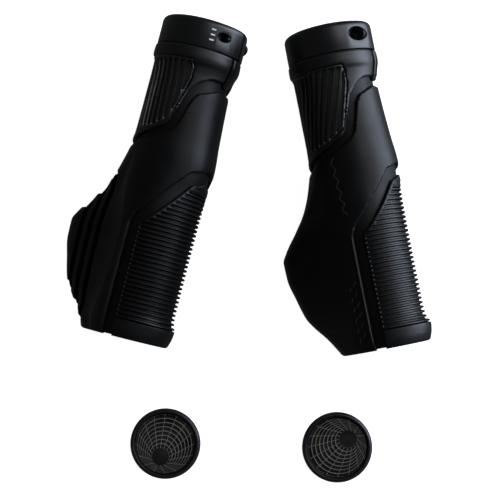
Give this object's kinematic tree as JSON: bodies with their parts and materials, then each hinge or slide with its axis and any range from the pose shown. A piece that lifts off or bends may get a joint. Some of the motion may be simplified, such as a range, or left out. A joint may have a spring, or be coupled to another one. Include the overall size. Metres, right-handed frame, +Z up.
{
  "type": "pair of ergonomic bicycle handlebar grips with bar end plugs",
  "caption": "Left and right lock-on handlebar grips with palm wings, clamp rings and ribbed finger pads, lying with their loose round bar end plugs.",
  "frame": {"origin": "on the surface that the set lies on, at the middle of the footprint of the whole set", "axes": "+Z up from that surface; +Y from the plugs towards the clamp ends of the grips; +X towards the right-hand grip"},
  "size_m": [0.152, 0.1942, 0.0369],
  "materials": {
    "panel_rubber": "satin",
    "ribbed_rubber": "satin",
    "core_rubber": "matte",
    "sleeve_plastic": "matte",
    "tongue_plastic": "satin",
    "ring_alloy": "satin black anodised",
    "bolt_steel": "black oxide",
    "plug_plastic": "satin",
    "plug_gloss": "gloss"
  },
  "bodies": {
    "left_grip": {"left_inner_sleeve": "sleeve_plastic", "left_grip_core": "core_rubber", "left_collar_panel": "panel_rubber", "left_thumb_rib_pad": "ribbed_rubber", "left_palm_panel": "panel_rubber", "left_finger_rib_pad": "ribbed_rubber", "left_front_tongue": "tongue_plastic"},
    "right_grip": {"right_inner_sleeve": "sleeve_plastic", "right_grip_core": "core_rubber", "right_collar_panel": "panel_rubber", "right_thumb_rib_pad": "ribbed_rubber", "right_palm_panel": "panel_rubber", "right_finger_rib_pad": "ribbed_rubber", "right_front_tongue": "tongue_plastic"},
    "left_ring": {"left_clamp_ring": "ring_alloy"},
    "left_washer": {"left_bolt_washer": "bolt_steel"},
    "left_bolt": {"left_clamp_bolt": "bolt_steel"},
    "left_plug": {"left_plug_body": "plug_plastic", "left_plug_face": "plug_gloss"},
    "right_ring": {"right_clamp_ring": "ring_alloy"},
    "right_washer": {"right_bolt_washer": "bolt_steel"},
    "right_bolt": {"right_clamp_bolt": "bolt_steel"},
    "right_plug": {"right_plug_body": "plug_plastic", "right_plug_face": "plug_gloss"}
  },
  "joints": [
    {"name": "right_grip_lift", "type": "slide", "parent": "left_grip", "child": "right_grip", "axis": [0, 0, 1], "range_m": [0, 0.08]},
    {"name": "left_ring_slide", "type": "slide", "parent": "left_grip", "child": "left_ring", "axis": [0.2453, 0.9694, 0], "range_m": [0, 0.014]},
    {"name": "left_bolt_travel", "type": "slide", "parent": "left_ring", "child": "left_washer", "axis": [0.4017, -0.1016, -0.9101], "range_m": [0, 0.0056]},
    {"name": "left_bolt_turn", "type": "hinge", "parent": "left_washer", "child": "left_bolt", "pos_m": [-0.00577, 0.08416, 0.02472], "axis": [0.4017, -0.1016, -0.9101], "range_deg": [0, 2880]},
    {"name": "left_plug_lift", "type": "slide", "parent": "left_grip", "child": "left_plug", "axis": [0, 0, 1], "range_m": [0, 0.06]},
    {"name": "right_ring_slide", "type": "slide", "parent": "right_grip", "child": "right_ring", "axis": [-0.1908, 0.9816, 0], "range_m": [0, 0.014]},
    {"name": "right_bolt_travel", "type": "slide", "parent": "right_ring", "child": "right_washer", "axis": [-0.2883, -0.056, 0.9559], "range_m": [0, 0.0056]},
    {"name": "right_bolt_turn", "type": "hinge", "parent": "right_washer", "child": "right_bolt", "pos_m": [0.04779, 0.08797, 0.0229], "axis": [-0.2883, -0.056, 0.9559], "range_deg": [0, 2880]},
    {"name": "right_plug_lift", "type": "slide", "parent": "left_grip", "child": "right_plug", "axis": [0, 0, 1], "range_m": [0, 0.06]}
  ],
  "couplings": [
    {"joint": "left_bolt_turn", "follows": "left_bolt_travel", "rad_per_m": 8976},
    {"joint": "right_bolt_turn", "follows": "right_bolt_travel", "rad_per_m": 8976}
  ]
}
